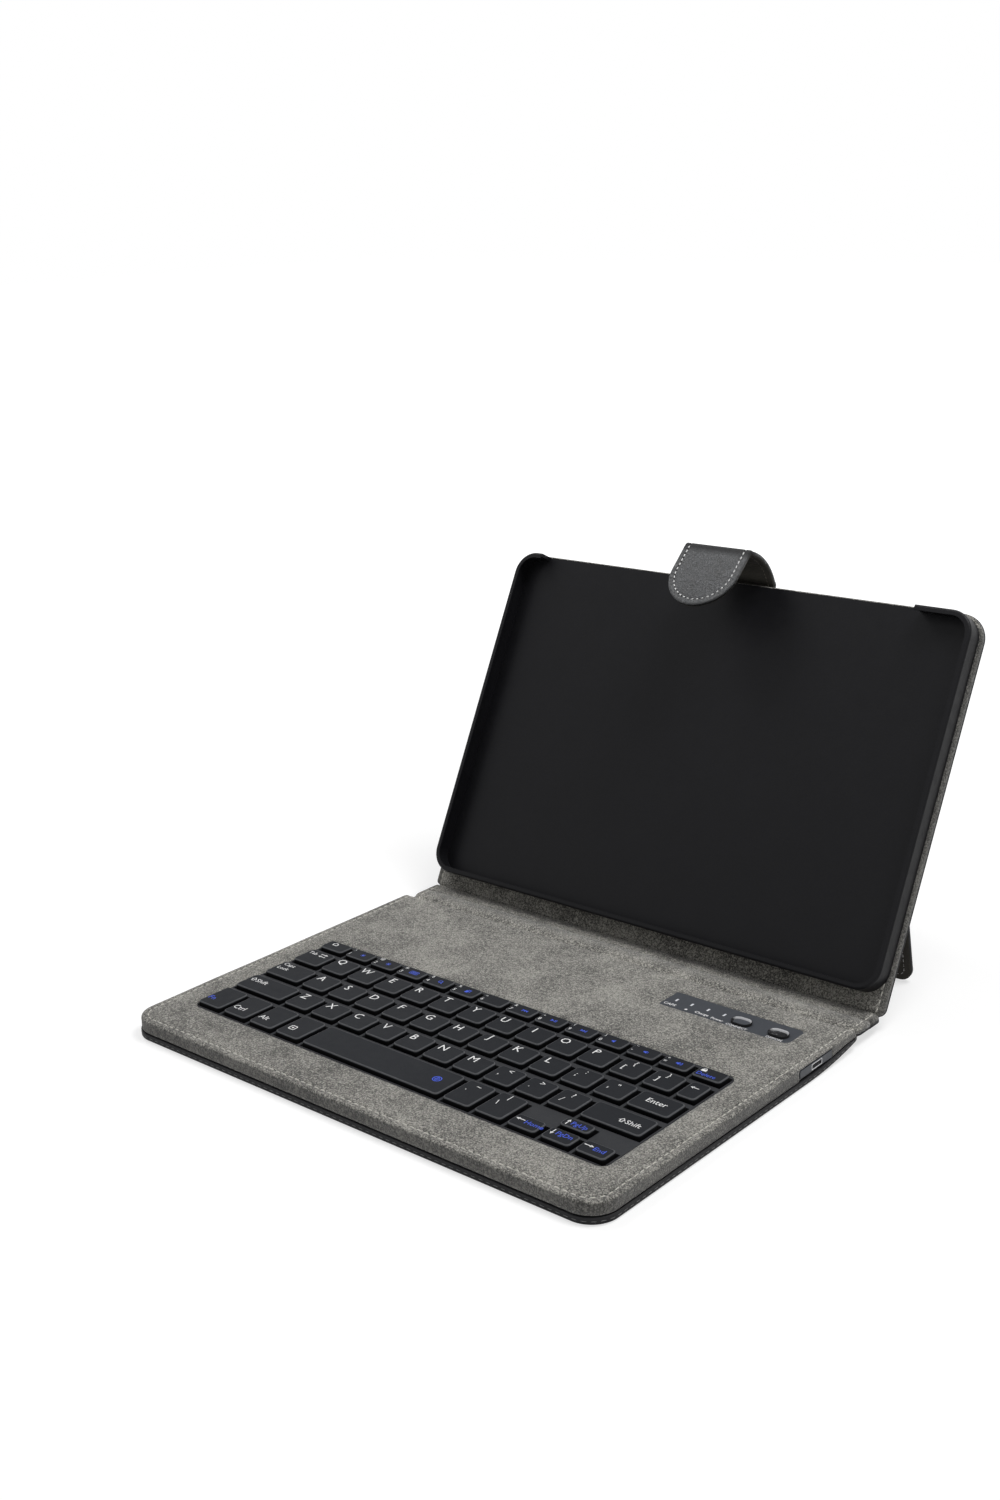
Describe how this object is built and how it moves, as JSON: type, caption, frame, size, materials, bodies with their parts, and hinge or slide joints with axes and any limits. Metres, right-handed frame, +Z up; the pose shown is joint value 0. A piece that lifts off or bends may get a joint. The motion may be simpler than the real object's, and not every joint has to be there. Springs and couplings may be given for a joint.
{
  "type": "tablet keyboard case",
  "caption": "Leather folio case with a wireless keyboard panel, a folding spine, a leaning tablet tray on a kickstand and a magnetic closing strap.",
  "frame": {"origin": "middle of the flat underside of the keyboard panel", "axes": "+X right as the user sits, +Y back towards the spine, +Z up from the table"},
  "size_m": [0.256, 0.2824, 0.1837],
  "materials": {
    "black_leather": "semi-gloss, fine creased grain",
    "strap_leather": "satin, fine grain",
    "strap_backing": "matt",
    "grey_suede": "matt suede",
    "stiff_board": "plain",
    "steel": "plain",
    "socket_steel": "bright",
    "case_plastic": "moulded",
    "plate_plastic": "fine texture",
    "key_plastic": "fine texture",
    "clear_film": "film",
    "dome_rubber": "silicone",
    "battery_foil": "pouch foil",
    "circuit_green": "soldered board",
    "strip_plastic": "satin",
    "lens_plastic": "clear",
    "button_plastic": "gloss",
    "tray_plastic": "satin"
  },
  "bodies": {
    "keyboard_panel": {"base_board": "stiff_board", "base_lining": "grey_suede", "base_outer_cover": "black_leather", "battery_cell": "battery_foil", "charging_socket": "socket_steel", "control_strip": "strip_plastic", "controller_board": "circuit_green", "indicator_lenses": "lens_plastic", "key_backing_plate": "steel", "key_membrane": "clear_film", "keyboard_bottom_case": "case_plastic", "keyboard_top_plate": "plate_plastic", "latch_plate": "steel", "port_bezel": "strip_plastic", "rubber_dome_sheet": "dome_rubber"},
    "spine": {"spine_board": "stiff_board", "spine_lining": "grey_suede", "spine_outer_cover": "black_leather"},
    "tablet_panel": {"panel_board": "stiff_board", "panel_lining": "grey_suede", "panel_outer_cover": "black_leather", "stand_anchor_strip": "black_leather", "strap_anchor_patch": "strap_leather", "tablet_tray": "tray_plastic"},
    "kickstand": {"stand_board": "stiff_board", "stand_lining": "strap_backing", "stand_outer_cover": "black_leather"},
    "strap_bridge": {"strap_bridge_cover": "strap_leather", "strap_bridge_lining": "strap_backing"},
    "strap_tip": {"strap_magnet": "steel", "strap_tip_cover": "strap_leather", "strap_tip_lining": "strap_backing", "strap_tip_stiffener": "stiff_board"},
    "connect_button": {"connect_button": "button_plastic"},
    "power_switch": {"power_switch": "button_plastic"},
    "alt_key": {"alt_key": "key_plastic"},
    "backspace_key": {"backspace_key": "key_plastic"},
    "caps_key": {"caps_key": "key_plastic"},
    "command_key": {"command_key": "key_plastic"},
    "ctrl_key": {"ctrl_key": "key_plastic"},
    "down_arrow_key": {"down_arrow_key": "key_plastic"},
    "enter_key": {"enter_key": "key_plastic"},
    "fn_key": {"fn_key": "key_plastic"},
    "left_arrow_key": {"left_arrow_key": "key_plastic"},
    "left_shift_key": {"left_shift_key": "key_plastic"},
    "lower_letter_keys": {"lower_letter_keys": "key_plastic"},
    "middle_letter_keys": {"middle_letter_keys": "key_plastic"},
    "number_row_keys": {"number_row_keys": "key_plastic"},
    "right_arrow_key": {"right_arrow_key": "key_plastic"},
    "right_shift_key": {"right_shift_key": "key_plastic"},
    "space_bar": {"space_bar": "key_plastic"},
    "symbol_keys": {"symbol_keys": "key_plastic"},
    "tab_key": {"tab_key": "key_plastic"},
    "up_arrow_key": {"up_arrow_key": "key_plastic"},
    "upper_letter_keys": {"upper_letter_keys": "key_plastic"}
  },
  "joints": [
    {"name": "spine_fold", "type": "hinge", "parent": "keyboard_panel", "child": "spine", "pos_m": [0, 0.089, 0.005], "axis": [1, 0, 0], "range_deg": [0, 90]},
    {"name": "panel_fold", "type": "hinge", "parent": "spine", "child": "tablet_panel", "pos_m": [0, 0.109, 0.005], "axis": [1, 0, 0], "range_deg": [-62.8, 27.2]},
    {"name": "kickstand_fold", "type": "hinge", "parent": "tablet_panel", "child": "kickstand", "pos_m": [0, 0.14609, 0.0706], "axis": [1, 0, 0], "range_deg": [-39.3, 0]},
    {"name": "strap_root_fold", "type": "hinge", "parent": "tablet_panel", "child": "strap_bridge", "pos_m": [0, 0.19297, 0.16445], "axis": [1, 0, 0], "range_deg": [-75, 15]},
    {"name": "strap_tip_fold", "type": "hinge", "parent": "strap_bridge", "child": "strap_tip", "pos_m": [0, 0.17186, 0.18359], "axis": [1, 0, 0], "range_deg": [-85, 5]},
    {"name": "connect_press", "type": "slide", "parent": "keyboard_panel", "child": "connect_button", "axis": [0, 0, 1], "range_m": [-0.0005, 0], "stiffness_N_per_m": 800, "springref_m": 0.0003},
    {"name": "power_slide", "type": "slide", "parent": "keyboard_panel", "child": "power_switch", "axis": [1, 0, 0], "range_m": [0, 0.0032]},
    {"name": "alt_key_press", "type": "slide", "parent": "keyboard_panel", "child": "alt_key", "axis": [0, 0, 1], "range_m": [-0.0015, 0], "stiffness_N_per_m": 400, "springref_m": 0.0005},
    {"name": "backspace_key_press", "type": "slide", "parent": "keyboard_panel", "child": "backspace_key", "axis": [0, 0, 1], "range_m": [-0.0015, 0], "stiffness_N_per_m": 400, "springref_m": 0.0005},
    {"name": "caps_key_press", "type": "slide", "parent": "keyboard_panel", "child": "caps_key", "axis": [0, 0, 1], "range_m": [-0.0015, 0], "stiffness_N_per_m": 400, "springref_m": 0.0005},
    {"name": "command_key_press", "type": "slide", "parent": "keyboard_panel", "child": "command_key", "axis": [0, 0, 1], "range_m": [-0.0015, 0], "stiffness_N_per_m": 400, "springref_m": 0.0005},
    {"name": "ctrl_key_press", "type": "slide", "parent": "keyboard_panel", "child": "ctrl_key", "axis": [0, 0, 1], "range_m": [-0.0015, 0], "stiffness_N_per_m": 400, "springref_m": 0.0005},
    {"name": "down_arrow_key_press", "type": "slide", "parent": "keyboard_panel", "child": "down_arrow_key", "axis": [0, 0, 1], "range_m": [-0.0015, 0], "stiffness_N_per_m": 400, "springref_m": 0.0005},
    {"name": "enter_key_press", "type": "slide", "parent": "keyboard_panel", "child": "enter_key", "axis": [0, 0, 1], "range_m": [-0.0015, 0], "stiffness_N_per_m": 400, "springref_m": 0.0005},
    {"name": "fn_key_press", "type": "slide", "parent": "keyboard_panel", "child": "fn_key", "axis": [0, 0, 1], "range_m": [-0.0015, 0], "stiffness_N_per_m": 400, "springref_m": 0.0005},
    {"name": "left_arrow_key_press", "type": "slide", "parent": "keyboard_panel", "child": "left_arrow_key", "axis": [0, 0, 1], "range_m": [-0.0015, 0], "stiffness_N_per_m": 400, "springref_m": 0.0005},
    {"name": "left_shift_key_press", "type": "slide", "parent": "keyboard_panel", "child": "left_shift_key", "axis": [0, 0, 1], "range_m": [-0.0015, 0], "stiffness_N_per_m": 400, "springref_m": 0.0005},
    {"name": "lower_letter_keys_press", "type": "slide", "parent": "keyboard_panel", "child": "lower_letter_keys", "axis": [0, 0, 1], "range_m": [-0.0015, 0], "stiffness_N_per_m": 4000, "springref_m": 0.0005},
    {"name": "middle_letter_keys_press", "type": "slide", "parent": "keyboard_panel", "child": "middle_letter_keys", "axis": [0, 0, 1], "range_m": [-0.0015, 0], "stiffness_N_per_m": 4400, "springref_m": 0.0005},
    {"name": "number_row_keys_press", "type": "slide", "parent": "keyboard_panel", "child": "number_row_keys", "axis": [0, 0, 1], "range_m": [-0.0015, 0], "stiffness_N_per_m": 5600, "springref_m": 0.0005},
    {"name": "right_arrow_key_press", "type": "slide", "parent": "keyboard_panel", "child": "right_arrow_key", "axis": [0, 0, 1], "range_m": [-0.0015, 0], "stiffness_N_per_m": 400, "springref_m": 0.0005},
    {"name": "right_shift_key_press", "type": "slide", "parent": "keyboard_panel", "child": "right_shift_key", "axis": [0, 0, 1], "range_m": [-0.0015, 0], "stiffness_N_per_m": 400, "springref_m": 0.0005},
    {"name": "space_bar_press", "type": "slide", "parent": "keyboard_panel", "child": "space_bar", "axis": [0, 0, 1], "range_m": [-0.0015, 0], "stiffness_N_per_m": 400, "springref_m": 0.0005},
    {"name": "symbol_keys_press", "type": "slide", "parent": "keyboard_panel", "child": "symbol_keys", "axis": [0, 0, 1], "range_m": [-0.0015, 0], "stiffness_N_per_m": 800, "springref_m": 0.0005},
    {"name": "tab_key_press", "type": "slide", "parent": "keyboard_panel", "child": "tab_key", "axis": [0, 0, 1], "range_m": [-0.0015, 0], "stiffness_N_per_m": 400, "springref_m": 0.0005},
    {"name": "up_arrow_key_press", "type": "slide", "parent": "keyboard_panel", "child": "up_arrow_key", "axis": [0, 0, 1], "range_m": [-0.0015, 0], "stiffness_N_per_m": 400, "springref_m": 0.0005},
    {"name": "upper_letter_keys_press", "type": "slide", "parent": "keyboard_panel", "child": "upper_letter_keys", "axis": [0, 0, 1], "range_m": [-0.0015, 0], "stiffness_N_per_m": 4800, "springref_m": 0.0005}
  ]
}
